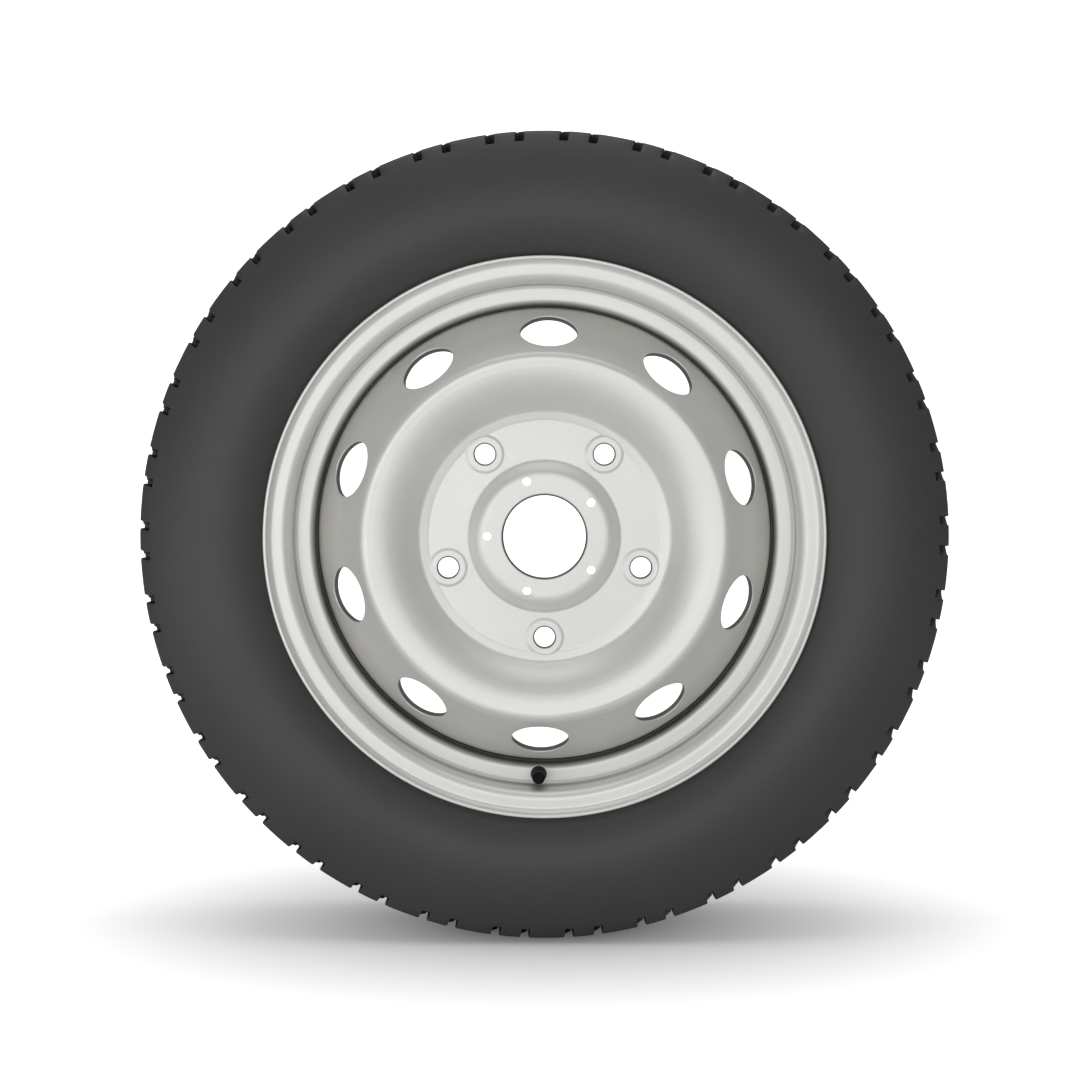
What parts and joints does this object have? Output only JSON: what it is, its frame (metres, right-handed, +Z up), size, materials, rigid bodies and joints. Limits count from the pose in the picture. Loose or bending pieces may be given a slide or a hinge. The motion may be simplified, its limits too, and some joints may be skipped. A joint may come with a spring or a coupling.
{
  "type": "wheel and tyre assembly",
  "caption": "Pressed steel disc wheel, painted silver, with vents round its slope, a raised centre with a bore, bolt holes, a snap-in valve and a mounted road tyre.",
  "frame": {"origin": "centre of the wheel: on the spin axis, in the rim's and the tyre's centre plane", "axes": "+Y along the spin axis, from the outer face towards the vehicle; +Z up, with the valve at the bottom as pictured"},
  "size_m": [0.6403, 0.206, 0.6404],
  "materials": {
    "tyre_rubber": "dry moulded rubber",
    "wheel_paint": "satin silver paint",
    "valve_rubber": "smooth rubber",
    "brass": "turned",
    "seal_rubber": "matte",
    "spring_steel": "drawn wire",
    "cap_plastic": "moulded"
  },
  "bodies": {
    "wheel": {"tyre": "tyre_rubber", "rim": "wheel_paint", "wheel_disc": "wheel_paint", "disc_welds": "wheel_paint", "valve_body": "valve_rubber", "valve_stem": "brass", "valve_core_plug": "brass", "valve_core_seal": "seal_rubber", "valve_core_spring": "spring_steel"},
    "core_pin": {"valve_core_pin": "brass", "valve_core_cup": "brass"},
    "cap_seal": {"valve_cap_seal": "seal_rubber"},
    "cap": {"valve_cap": "cap_plastic"}
  },
  "joints": [
    {"name": "core_press", "type": "slide", "parent": "wheel", "child": "core_pin", "axis": [0, 1, 0], "range_m": [0, 0.0015], "stiffness_N_per_m": 800, "springref_m": -0.003, "deforming": ["valve_core_spring"]},
    {"name": "cap_lift", "type": "slide", "parent": "wheel", "child": "cap_seal", "axis": [0, -1, 0], "range_m": [0, 0.00635]},
    {"name": "cap_turn", "type": "hinge", "parent": "cap_seal", "child": "cap", "pos_m": [-0.00464, -0.0576, -0.18994], "axis": [0, -1, 0], "range_deg": [0, 2881]}
  ],
  "couplings": [
    {"joint": "cap_turn", "follows": "cap_lift", "rad_per_m": 7915.8}
  ]
}
